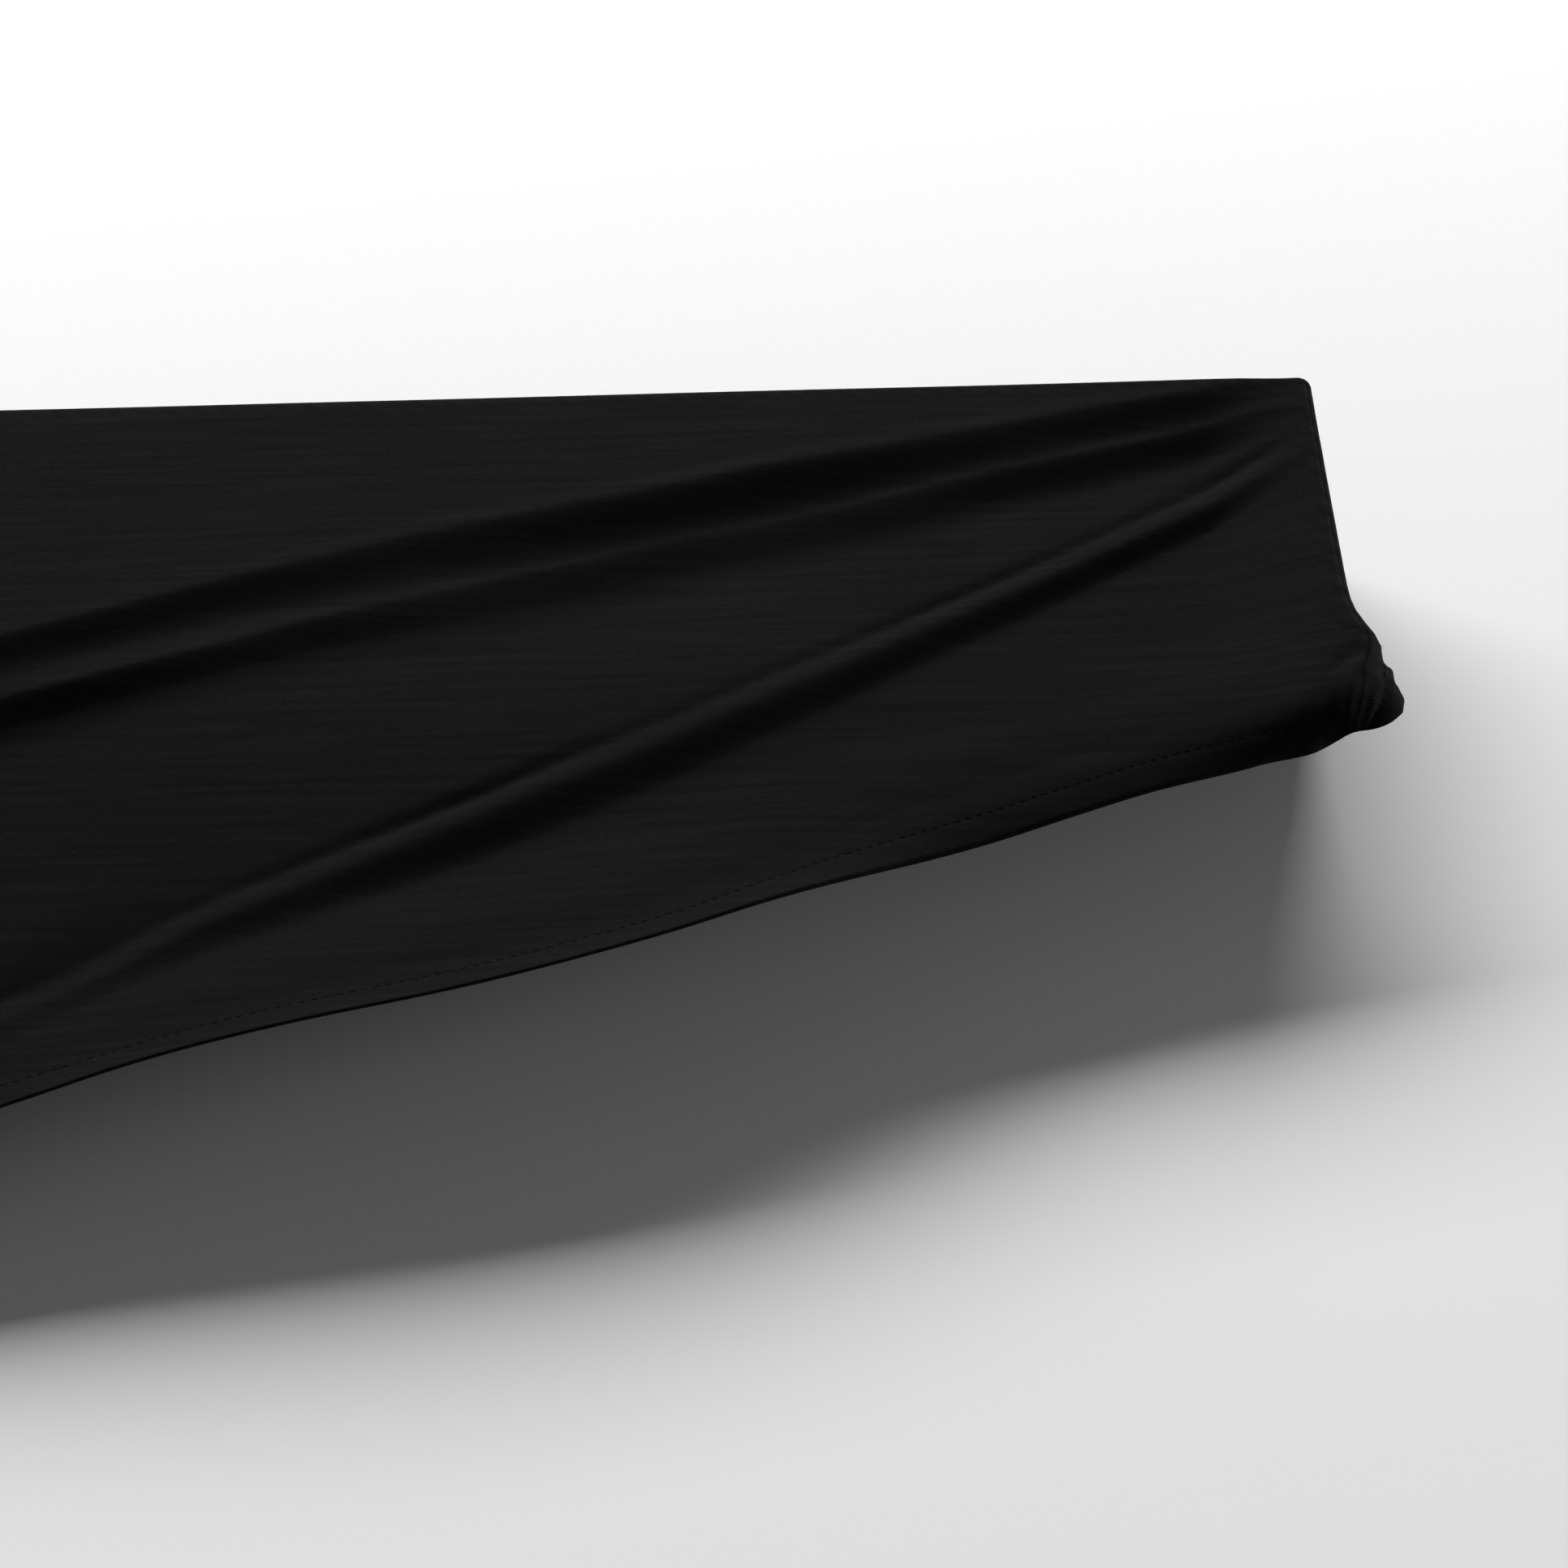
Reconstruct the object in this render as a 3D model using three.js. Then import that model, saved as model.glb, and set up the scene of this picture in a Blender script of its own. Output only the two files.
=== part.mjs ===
// Dust cover: one piece of black stretch cloth with an elasticated hem all round.
// It is drawn over a long, slim form, and its front right corner is pulled back, so that the hem
// runs slantwise over the top, from the front edge to the right end.
// Millimetres. +X runs along the length, +Y to the back, +Z up.
// The origin lies at the middle of the top, on the underside of the cloth.

import * as THREE from 'three';

// The form that the cloth is cut to fit: higher at the back than at the front.
const LENGTH = 928;
const DEPTH = 290;
const BACK_HEIGHT = 68;
const FRONT_HEIGHT = 48;

// The cloth, its turned edges and its corners.
const CLOTH = 2;
const EASE = 0.5;
const EDGE_RADIUS = 4;
const CORNER_RADIUS = 2.5;

// The top hangs lower between the ends of the form: all over, and more so along its front.
// MIDDLE_DIP is how far its middle lies under the plane of the ends.
const END_RISE = 4.5;
const FRONT_SAG = { depth: 10, endRun: 240, backY: 30, frontY: -90 };
const MIDDLE_DIP = 9.6;

// The hem, which the elastic draws in under the form where the cover is not pulled back.
const HEM_THICKNESS = 3.6;
const HEM_WIDTH = 18;
const HEM_TURN = 4.5;
const HEM_TURN_ANGLE = THREE.MathUtils.degToRad(95);

// The pulled-back hem: a slanting line over the top, then down the front and down the right end.
// Along that line it curls in steps: a little upwards at the left, and down towards the right end.
const HEM_END_Y = -6.5;
const HEM_SLOPE = 0.358;
const HEM_BOW = { depth: 5.5, x: 278, width: 65 };
const HEM_CURLS = [
  { angle: THREE.MathUtils.degToRad(-14), from: 90, to: 150 },
  { angle: THREE.MathUtils.degToRad(40), from: 255, to: 350 },
  { angle: THREE.MathUtils.degToRad(22), from: 395, to: 440 },
  { angle: THREE.MathUtils.degToRad(42), from: 440, to: 463 },
];
const FRONT_FALL_SLOPE = 0.36;
const FRONT_FALL_START = 88;
const END_FALL_SLOPE = 0.8;

// Before the hem the cloth rises, by a share of the hem's own drop and in a soft roll of its own.
const HEM_RISE = { share: 0.35, run: 42, roll: 3.6, width: 28, from: 60, full: 160, fade: 300, to: 370 };

// Folds drawn by the pull, which fan out from the right back corner.
// crest: a line through (x, y) at a slope, bowed forwards round bowX.
// shape: the rise of the crest dies away behind it over back. In front of it the cloth drops over run,
// and recovers over recover.
// The fold starts at the X called right, and has half faded at left. foot is the share of its run at
// which the mesh has a second line.
const FOLDS = [
  {
    crest: { x: 230, y: 85.1, slope: 0.277, bow: 8, bowX: 60, bowWidth: 75 },
    shape: { rise: 3, drop: 7, back: 48, run: 19.5, recover: 60 },
    right: 472,
    left: -140,
    foot: 0.5,
  },
  {
    crest: { x: 230, y: 63.6, slope: 0.312, bow: 5, bowX: 60, bowWidth: 75 },
    shape: { rise: 0.7, drop: 4.8, back: 7, run: 18, recover: 60 },
    right: 472,
    left: -110,
    foot: 1,
  },
  {
    crest: { x: 300, y: 15, slope: 0.565, bow: 9, bowX: 302, bowWidth: 95 },
    shape: { rise: 1.8, drop: 4.4, back: 24, run: 13, recover: 30 },
    right: 472,
    left: 40,
    foot: 1,
  },
];
const FOLD_START_RUN = 45;
const FOLD_FADE_RUN = 110;
const BACK_EDGE_RUN = 50;
const HEM_CALM = 40;

// Share of their full run that the folds have at the left and at the right, where they run together.
const FAN = { left: 0.78, leftFrom: 110, leftTo: 230, right: 0.7, rightFrom: 260, rightTo: 450 };

// The cloth pushed together at the right end stands out in lobes beside the hem.
const LOBES = [
  { y: 16, ahead: 9, behind: 17, out: 6 },
  { y: -1, ahead: 6, behind: 4, out: 1.5 },
];
const LOBE_REACH = 24;

// Mesh divisions: columns along X, rows from back to front in lanes between the lines of the folds,
// and rings down the falls.
const COLUMNS = 48;
const COLUMN_CROWDING = 0.66;
const LANE_ROWS = [3, 2, 2, 3, 4, 3, 9];
const LEAST_ROW_GAP = 1.5;
const FRONT_CROWDING = 1.35;
const RELAX_RUN = 240;
const ROUND_RINGS = 2;
const FALL_RINGS = 3;
const HEM_RINGS = 2;

const CLOTH_COLOUR = 0x191919;
const CLOTH_ROUGHNESS = 0.95;

const HALF_CLOTH = CLOTH / 2;
const SIDE_X = LENGTH / 2 + EASE + HALF_CLOTH;
const SIDE_Y = DEPTH / 2 + EASE + HALF_CLOTH;
const FLAT_X = SIDE_X - EDGE_RADIUS;
const FLAT_Y = SIDE_Y - EDGE_RADIUS;
const TOP_SLOPE = (BACK_HEIGHT - FRONT_HEIGHT) / DEPTH;
const HEM_Z = MIDDLE_DIP - (BACK_HEIGHT + FRONT_HEIGHT) / 2 + HEM_THICKNESS / 2;
const ROWS = LANE_ROWS.reduce((sum, count) => sum + count, 0);
const RINGS = ROUND_RINGS + FALL_RINGS + HEM_RINGS;

const { clamp, lerp, smoothstep } = THREE.MathUtils;

// A bell of height 1 at the centre.
function bell(distance, width) {
  return Math.exp(-((distance / width) ** 2));
}

// The larger of two values, with the crossing rounded over a given width.
function softMax(a, b, width) {
  return (a + b + Math.hypot(a - b, width)) / 2;
}

// The line of a fold's crest, seen from above.
function crestY({ crest }, x) {
  return crest.y + crest.slope * (x - crest.x) - crest.bow * bell(x - crest.bowX, crest.bowWidth);
}

// Share of its full run that a fold has at a place in X.
function fanWidth(x) {
  const atLeft = lerp(FAN.left, 1, smoothstep(x, FAN.leftFrom, FAN.leftTo));
  return atLeft * lerp(1, FAN.right, smoothstep(x, FAN.rightFrom, FAN.rightTo));
}

// The distance in Y from a fold's crest to its second mesh line.
function footOffset({ crest, shape, foot }, x) {
  return foot * shape.run * fanWidth(x) * Math.hypot(1, crest.slope);
}

// Section of a fold, like a dune: a slow rise to the crest, a drop in front of it, a slow recovery.
// Near the back edge the rise is less, so that the edge stays straight.
function foldSection(fold, x, across) {
  const { rise, drop, back, run, recover } = fold.shape;
  const toBack = FLAT_Y - crestY(fold, x);
  const risen = rise * smoothstep(toBack, 0, BACK_EDGE_RUN);
  if (across > 0) {
    return risen * Math.exp(-across / Math.min(back, Math.max(toBack, 1) / 1.6));
  }
  const width = run * fanWidth(x);
  const dropped = (drop - rise + risen) * smoothstep(-across, 0, width);
  return (risen - dropped) * Math.exp(-Math.max(-across - width, 0) / recover);
}

// Height that a fold adds.
function foldHeight(fold, x, y) {
  const across = (y - crestY(fold, x)) / Math.hypot(1, fold.crest.slope);
  const start = 1 - smoothstep(x, fold.right - FOLD_START_RUN, fold.right);
  const fade = smoothstep(x, fold.left - FOLD_FADE_RUN, fold.left + FOLD_FADE_RUN);
  return foldSection(fold, x, across) * start * fade;
}

// How far the top hangs below the plane of the form's ends.
function sag(x, y) {
  const allOver = END_RISE * (1 - (Math.abs(x) / SIDE_X) ** 1.5);
  const fromEnd = clamp((SIDE_X - Math.abs(x)) / FRONT_SAG.endRun, 0, 1);
  const towardsFront = 1 - smoothstep(y, FRONT_SAG.frontY, FRONT_SAG.backY);
  return allOver + FRONT_SAG.depth * (1 - (1 - fromEnd) ** 2) * towardsFront;
}

// Section of the pulled-back hem as [outwards, down]: an arc of the hem's width, from its inner line.
function hemSection(share, x) {
  const curl = HEM_CURLS.reduce((sum, { angle, from, to }) => sum + angle * smoothstep(x, from, to), 0);
  const angle = Math.abs(curl) < 0.01 ? 0.01 : curl;
  const radius = HEM_WIDTH / angle;
  return [radius * Math.sin(angle * share), radius * (1 - Math.cos(angle * share))];
}

// Front limit of the top: the front edge, or the inner line of the pulled-back hem.
function frontY(x) {
  const bow = HEM_BOW.depth * bell(x - HEM_BOW.x, HEM_BOW.width);
  const hemEdge = HEM_END_Y - HEM_SLOPE * (FLAT_X - x) - bow;
  const [hemOut] = hemSection(1, x);
  return softMax(-FLAT_Y, hemEdge + hemOut * Math.hypot(1, HEM_SLOPE), 8);
}

// How far the cloth rises before the hem.
function hemRise(x, y) {
  const behind = y - frontY(x);
  const [, hemDown] = hemSection(1, x);
  const along = smoothstep(x, HEM_RISE.from, HEM_RISE.full) * (1 - smoothstep(x, HEM_RISE.fade, HEM_RISE.to));
  const roll = HEM_RISE.roll * along * bell(behind, HEM_RISE.width);
  return HEM_RISE.share * Math.max(hemDown, 0) * bell(behind, HEM_RISE.run) + roll;
}

// Middle surface of the top. The folds die away before they reach the hem.
function topZ(x, y) {
  const folds = FOLDS.reduce((sum, fold) => sum + foldHeight(fold, x, y), 0);
  const calm = smoothstep(y - frontY(x), 0, HEM_CALM);
  return HALF_CLOTH + MIDDLE_DIP + TOP_SLOPE * y - sag(x, y) + folds * calm + hemRise(x, y);
}

// Outward push of the gathered cloth at the right end, at a point of the edge and a share of its fall.
function lobePush(x, y, share) {
  const reach = smoothstep(x, FLAT_X - LOBE_REACH, FLAT_X);
  const bulge = lerp(0.55, 1, smoothstep(share, 0, 0.4)) * (1 - 0.6 * smoothstep(share, 0.7, 1));
  return LOBES.reduce((sum, { y: middle, ahead, behind, out }) => {
    return sum + reach * bulge * out * bell(y - middle, y > middle ? behind : ahead);
  }, 0);
}

// Places of the columns, closer together towards both ends.
function columnX(i) {
  const u = (2 * i) / COLUMNS - 1;
  return FLAT_X * (u + (COLUMN_CROWDING * Math.sin(Math.PI * u)) / Math.PI);
}

// Lines between the lanes of one column, from the back to the front. They follow the crests and
// second lines of the folds, and spread out evenly where the folds have faded.
function laneLines(x) {
  const back = FLAT_Y;
  const front = frontY(x);
  const lines = [back];
  let rowsBehind = 0;
  FOLDS.forEach((fold, k) => {
    const faded = fold.left - FOLD_FADE_RUN;
    const relax = 1 - smoothstep(x, faded - RELAX_RUN, faded);
    const crest = crestY(fold, x);
    [crest, crest - footOffset(fold, x)].forEach((y, side) => {
      rowsBehind += LANE_ROWS[2 * k + side];
      lines.push(lerp(y, lerp(back, front, rowsBehind / ROWS), relax));
    });
  });
  lines.push(front);
  for (let k = 1; k < lines.length - 1; k += 1) {
    lines[k] = Math.min(lines[k], lines[k - 1] - LEAST_ROW_GAP * LANE_ROWS[k - 1]);
  }
  for (let k = lines.length - 2; k > 0; k -= 1) {
    lines[k] = Math.max(lines[k], lines[k + 1] + LEAST_ROW_GAP * LANE_ROWS[k]);
  }
  return lines;
}

// Rows of one column, from the back to the front, closer together in the last lane's front.
function rowsY(x) {
  const lines = laneLines(x);
  const rows = [lines[0]];
  LANE_ROWS.forEach((count, k) => {
    const crowding = k === LANE_ROWS.length - 1 ? FRONT_CROWDING : 1;
    for (let n = 1; n <= count; n += 1) {
      rows.push(lerp(lines[k], lines[k + 1], 1 - (1 - n / count) ** crowding));
    }
  });
  return rows;
}

// Rounds the corners of the flat top in plan, by the mapping of a square onto a disc.
function roundCorner(x, y) {
  const a = (Math.abs(x) - FLAT_X + CORNER_RADIUS) / CORNER_RADIUS;
  const b = (Math.abs(y) - FLAT_Y + CORNER_RADIUS) / CORNER_RADIUS;
  if (a <= 0 || b <= 0) {
    return [x, y];
  }
  const insetX = CORNER_RADIUS * (1 - a * Math.sqrt(1 - (b * b) / 2));
  const insetY = CORNER_RADIUS * (1 - b * Math.sqrt(1 - (a * a) / 2));
  return [Math.sign(x) * (FLAT_X - insetX), Math.sign(y) * (FLAT_Y - insetY)];
}

// How the cloth leaves the top at a point of its edge: fall is the drop down to the hem, hanging is
// 0 where the hem still lies on the top, and turned is 1 where the hem turns in under the form.
function leaving(x, y, z, side) {
  const full = z - HEM_Z;
  let fall = full;
  let hanging = 1;
  if (side === 'front') {
    fall = clamp(FRONT_FALL_SLOPE * (FRONT_FALL_START - x), 0, full);
    hanging = smoothstep(fall, 3, 18);
  } else if (side === 'right') {
    fall = clamp(hemRise(x, y) + END_FALL_SLOPE * (y - HEM_END_Y), 0, full);
    hanging = smoothstep(y - frontY(FLAT_X), 0, 16);
  }
  return { fall, hanging, turned: smoothstep(fall / full, 0.7, 1) };
}

// Section of a fall as [outwards, down]: a rounded edge, a straight fall and the hem.
function fallSection(ring, fall, turned) {
  const hemHeight = Math.min(lerp(HEM_WIDTH, HEM_TURN, turned), fall - EDGE_RADIUS - 1);
  const hemTop = Math.max(fall - hemHeight, EDGE_RADIUS + 1);
  if (ring <= ROUND_RINGS) {
    const angle = (Math.PI / 2) * (ring / ROUND_RINGS);
    return [EDGE_RADIUS * Math.sin(angle), EDGE_RADIUS * (1 - Math.cos(angle))];
  }
  if (ring <= ROUND_RINGS + FALL_RINGS) {
    return [EDGE_RADIUS, lerp(EDGE_RADIUS, hemTop, (ring - ROUND_RINGS) / FALL_RINGS)];
  }
  const share = (ring - ROUND_RINGS - FALL_RINGS) / HEM_RINGS;
  const angle = HEM_TURN_ANGLE * share;
  const inward = HEM_TURN * turned * (1 - Math.cos(angle));
  return [EDGE_RADIUS - inward, hemTop + hemHeight * lerp(share, Math.sin(angle), turned)];
}

// Edge of the top as a loop of column, row and side: front, right end, back, left end.
function edgeLoop() {
  const loop = [];
  for (let i = 0; i < COLUMNS; i += 1) {
    loop.push({ i, j: ROWS, side: 'front' });
  }
  for (let j = ROWS; j > 0; j -= 1) {
    loop.push({ i: COLUMNS, j, side: 'right' });
  }
  for (let i = COLUMNS; i > 0; i -= 1) {
    loop.push({ i, j: 0, side: 'back' });
  }
  for (let j = 0; j < ROWS; j += 1) {
    loop.push({ i: 0, j, side: 'left' });
  }
  return loop;
}

// Outward direction in plan at each point of a closed loop.
function outwardDirections(edge) {
  return edge.map((point, k) => {
    const before = edge[(k + edge.length - 1) % edge.length];
    const after = edge[(k + 1) % edge.length];
    const arriving = point.clone().sub(before).setZ(0).normalize();
    const departing = after.clone().sub(point).setZ(0).normalize();
    const along = arriving.add(departing).normalize();
    return new THREE.Vector3(along.y, -along.x, 0);
  });
}

// Middle surface of the cloth: points, half thicknesses, quads, and the ring of the open edge.
function middleSurface() {
  const points = [];
  const halves = [];
  const quads = [];
  const topIndex = (i, j) => i * (ROWS + 1) + j;
  for (let i = 0; i <= COLUMNS; i += 1) {
    rowsY(columnX(i)).forEach((rowY) => {
      const [x, y] = roundCorner(columnX(i), rowY);
      points.push(new THREE.Vector3(x, y, topZ(x, y)));
      halves.push(HALF_CLOTH);
    });
  }
  for (let i = 0; i < COLUMNS; i += 1) {
    for (let j = 0; j < ROWS; j += 1) {
      quads.push([topIndex(i, j), topIndex(i, j + 1), topIndex(i + 1, j + 1), topIndex(i + 1, j)]);
    }
  }
  const loop = edgeLoop();
  let ringAbove = loop.map(({ i, j }) => topIndex(i, j));
  const edge = ringAbove.map((index) => points[index].clone());
  const outward = outwardDirections(edge);
  points.forEach((point) => {
    point.x += lobePush(point.x, point.y, 0);
  });
  for (let ring = 1; ring <= RINGS; ring += 1) {
    const ringHere = loop.map(({ side }, k) => {
      const { x, y, z } = edge[k];
      const { fall, hanging, turned } = leaving(x, y, z, side);
      const [hemOut, hemDown] = hemSection(ring / RINGS, x);
      const [fallOut, fallDown] = fallSection(ring, fall, turned);
      const out = lerp(hemOut, fallOut, hanging);
      const endRoll = side === 'right' ? lerp(smoothstep(ring / RINGS, 0.25, 0.65), 1, hanging) : 1;
      const point = edge[k].clone();
      point.x += outward[k].x * out * endRoll + lobePush(x, y, ring / RINGS);
      point.y += outward[k].y * out;
      point.z -= lerp(hemDown, fallDown, hanging);
      points.push(point);
      halves.push(ring > RINGS - HEM_RINGS ? HEM_THICKNESS / 2 : HALF_CLOTH);
      return points.length - 1;
    });
    const above = ringAbove;
    ringHere.forEach((index, k) => {
      const next = (k + 1) % loop.length;
      quads.push([above[k], index, ringHere[next], above[next]]);
    });
    ringAbove = ringHere;
  }
  return { points, halves, quads, openEdge: ringAbove };
}

// Mean normals of the quads round each point.
function pointNormals(points, quads) {
  const normals = points.map(() => new THREE.Vector3());
  quads.forEach(([a, b, c, d]) => {
    const diagonal = points[c].clone().sub(points[a]);
    const otherDiagonal = points[d].clone().sub(points[b]);
    const facing = diagonal.cross(otherDiagonal);
    [a, b, c, d].forEach((index) => normals[index].add(facing));
  });
  normals.forEach((normal) => normal.normalize());
  return normals;
}

// Gives the middle surface its thickness: an outer skin, an inner skin and a rim along the hem.
function clothGeometry() {
  const { points, halves, quads, openEdge } = middleSurface();
  const normals = pointNormals(points, quads);
  const count = points.length;
  const outer = points.map((point, n) => point.clone().addScaledVector(normals[n], halves[n]));
  const inner = points.map((point, n) => point.clone().addScaledVector(normals[n], -halves[n]));
  const triangles = [];
  const addQuad = (a, b, c, d) => triangles.push(a, b, c, a, c, d);
  quads.forEach(([a, b, c, d]) => {
    addQuad(a, b, c, d);
    addQuad(d + count, c + count, b + count, a + count);
  });
  openEdge.forEach((index, k) => {
    const next = openEdge[(k + 1) % openEdge.length];
    addQuad(index, index + count, next + count, next);
  });
  const positions = [...outer, ...inner].flatMap((point) => point.toArray());
  const geometry = new THREE.BufferGeometry();
  geometry.setAttribute('position', new THREE.Float32BufferAttribute(positions, 3));
  geometry.setIndex(triangles);
  geometry.computeVertexNormals();
  return geometry;
}

const clothMaterial = new THREE.MeshStandardMaterial({
  color: CLOTH_COLOUR,
  roughness: CLOTH_ROUGHNESS,
  metalness: 0,
});

const cover = new THREE.Mesh(clothGeometry(), clothMaterial);
cover.name = 'cover';

const part = new THREE.Group();
part.add(cover);

export default part;
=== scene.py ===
# %% [markdown]
# # A fitted dust cover in black stretch cloth
#
# The real cover is one piece of stretch knit with an elastic hem. It is pulled over a long, slim
# form like a fitted sheet. Here its front right corner has been drawn back, so the hem lies
# slantwise over the top, and the slack gathers in three long folds and a short one.
#
# The lesson makes that cloth as one thin surface in numpy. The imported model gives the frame: its
# solid has the same outline and nearly the same folds, only coarser, so each piece stays in its place.

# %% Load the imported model
import math

import bpy
import numpy as np
from mathutils import Matrix, Vector


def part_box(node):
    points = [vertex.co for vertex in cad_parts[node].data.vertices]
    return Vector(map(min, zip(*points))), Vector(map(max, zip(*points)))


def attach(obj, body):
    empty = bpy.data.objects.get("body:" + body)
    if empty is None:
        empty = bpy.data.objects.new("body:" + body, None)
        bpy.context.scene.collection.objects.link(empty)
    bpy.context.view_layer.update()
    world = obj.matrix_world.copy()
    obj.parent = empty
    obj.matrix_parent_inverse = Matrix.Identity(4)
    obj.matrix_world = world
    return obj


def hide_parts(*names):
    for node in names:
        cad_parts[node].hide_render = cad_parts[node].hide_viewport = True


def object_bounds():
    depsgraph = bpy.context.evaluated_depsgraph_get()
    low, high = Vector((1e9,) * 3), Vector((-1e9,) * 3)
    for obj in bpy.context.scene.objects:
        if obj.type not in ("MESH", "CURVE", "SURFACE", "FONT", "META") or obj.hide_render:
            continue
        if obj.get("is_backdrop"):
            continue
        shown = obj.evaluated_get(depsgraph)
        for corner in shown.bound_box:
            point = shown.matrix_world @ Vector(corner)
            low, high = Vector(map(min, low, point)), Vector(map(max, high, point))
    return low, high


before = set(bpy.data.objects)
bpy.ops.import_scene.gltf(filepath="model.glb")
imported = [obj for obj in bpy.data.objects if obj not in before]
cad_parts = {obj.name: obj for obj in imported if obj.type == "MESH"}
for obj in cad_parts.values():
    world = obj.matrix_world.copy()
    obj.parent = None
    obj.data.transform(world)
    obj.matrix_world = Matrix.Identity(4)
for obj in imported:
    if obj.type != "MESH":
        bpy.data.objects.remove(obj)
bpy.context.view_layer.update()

# %% [markdown]
# ## The camera
#
# A camera comes first, because every later choice is judged through it. Its place, its turn and its
# lens were worked out from a known size in the picture, and are given as plain angles: how far it
# looks down, how far it turns to the right, and how far it leans. Three turns in a row are easier to
# read than one matrix, and they never depend on a target object.

# %% Camera
CAMERA_PLACE = (0.3410, -0.5852, 0.4891)
CAMERA_LENS = 62.99
CAMERA_SENSOR = 36.0
LOOK_DOWN = math.radians(40.84)
TURN_RIGHT = math.radians(-3.50)
LEAN = math.radians(-2.90)


def add_object(name, data):
    """A new object in the scene that shows the given data."""
    made = bpy.data.objects.new(name, data)
    bpy.context.scene.collection.objects.link(made)
    return made


camera_data = bpy.data.cameras.new("camera")
camera_data.lens = CAMERA_LENS
camera_data.sensor_width = CAMERA_SENSOR
camera = add_object("camera", camera_data)
heading = Matrix.Rotation(-TURN_RIGHT, 4, "Z")
tilt = Matrix.Rotation(math.pi / 2 - LOOK_DOWN, 4, "X")
lean = Matrix.Rotation(LEAN, 4, "Z")
camera.matrix_world = Matrix.Translation(CAMERA_PLACE) @ heading @ tilt @ lean
bpy.context.scene.camera = camera
print("camera looks along", [round(value, 3) for value in heading @ tilt @ Vector((0, 0, -1))])

# %% [markdown]
# ## Sizes
#
# Cloth is easiest to think of in millimetres, so every shape below is in millimetres and becomes
# metres only when a mesh is filled. The length, the depth and the lowest point come from the frame.
# What is built is the middle surface of the cloth: half the thickness lies on either side of it.

# %% Sizes from the frame
MM = 0.001
CLOTH = 1.0
SOLID_CLOTH = 2.0
EDGE_RADIUS = 2.6
CORNER_RADIUS = 1.2
BACK_HEIGHT = 68.0
FRONT_HEIGHT = 48.0

low, high = (np.array(corner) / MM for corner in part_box("cover"))
SIDE_X = -low[0] - CLOTH / 2
SIDE_Y = high[1] - CLOTH / 2
FLAT_X = SIDE_X - EDGE_RADIUS
FLAT_Y = SIDE_Y - EDGE_RADIUS
TOP_SLOPE = (BACK_HEIGHT - FRONT_HEIGHT) / (2 * SIDE_Y)
print(f"cover {2 * SIDE_X:.0f} by {2 * SIDE_Y:.0f} mm, lowest point {low[2]:.1f} mm")

# %% [markdown]
# ## Soft shapes
#
# Nothing on hanging cloth has a hard corner. Four small functions give every swell, trough and fade
# in this lesson: a bell, a smooth step, a mix of two values, and an uneven run that stands in for
# chance. The last one is a sum of sines, so it is the same in every run.

# %% Soft shapes
def bell(distance, width):
    """Height 1 at distance 0, falling off as e to the minus square of distance over width."""
    return np.exp(-((distance / width) ** 2))


def smoothstep(value, start, end):
    """0 up to start, 1 from end on, and 3t^2 - 2t^3 between them."""
    share = np.clip((value - start) / (end - start), 0, 1)
    return share * share * (3 - 2 * share)


def mix(a, b, share):
    """The value that lies at a share of the way from a to b."""
    return a + (b - a) * share


def uneven(value, length, seed):
    """An uneven run between about -1 and 1: three sines, the first of the given wave length."""
    turn = 2 * np.pi * value / length
    first, longer = np.sin(turn + seed), np.sin(turn / 1.73 + 2.1 * seed)
    shorter = np.sin(1.9 * turn + 5 * seed)
    return (first + 0.7 * longer + 0.4 * shorter) / 2.1


print("a bell at one width:", round(float(bell(1.0, 1.0)), 3))

# %% [markdown]
# ## The folds
#
# When the corner is drawn back, the cloth can no longer lie flat: it is pushed up in long ridges that
# fan out from the far corner. Each ridge leans to the front, with a steep side, a trough at its foot,
# and a narrow pinched crest where the knit is bent sharply. A cloth simulation would make folds of
# its own, in its own places. A table with one row a fold puts each where the real one is.
#
# In a row, x, y and slope place the line of the crest, and bow bends it. Rise, back, drop, run, lean
# and recover are the section across it, from the back to the front. Pinch and nick sharpen the crest.
# Right and left say where the fold starts and where it has half faded. Lane is for the grid below.
# A short fold lies behind the left end of the third one.

# %% Table of the folds
FOLDS = [
    dict(x=230, y=87.4, slope=0.269, bow=11.4, bow_x=60, bow_width=88,
         rise=2.6, back=48, drop=7.3, run=19.5, lean=0.85, recover=60, at_left=-0.35,
         pinch=0.08, nick=0.25, right=472, left=-140, lane=8, seed=0.4),
    dict(x=230, y=65.7, slope=0.307, bow=7.8, bow_x=60, bow_width=88,
         rise=0.7, back=7, drop=4.9, run=18, lean=0.85, recover=60, at_left=0.06,
         pinch=0.12, nick=0.0, right=472, left=-110, lane=5, seed=2.3),
    dict(x=300, y=18.0, slope=0.585, bow=8.9, bow_x=295, bow_width=94,
         rise=1.6, back=24, drop=3.9, run=12.8, lean=0.95, recover=26, at_left=0.0,
         pinch=0.12, nick=1.15, right=472, left=95, lane=15, seed=4.1),
]
SHORT_FOLD = dict(
    x=130, y=-60.0, slope=0.5, bow=0, bow_x=0, bow_width=1,
    rise=0.2, back=10, drop=4.5, run=25.5, lean=1.1, recover=80, at_left=0.0,
    pinch=0.0, nick=0.0, right=160, left=-20, seed=1.0,
)
print(len(FOLDS), "long folds and a short one")

# %% Line and width of a fold
WANDER, WANDER_LENGTH = 0.7, 95
FAN = dict(right=(260, 450), right_share=0.7, left=(110, 230), left_share=0.72)


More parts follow.
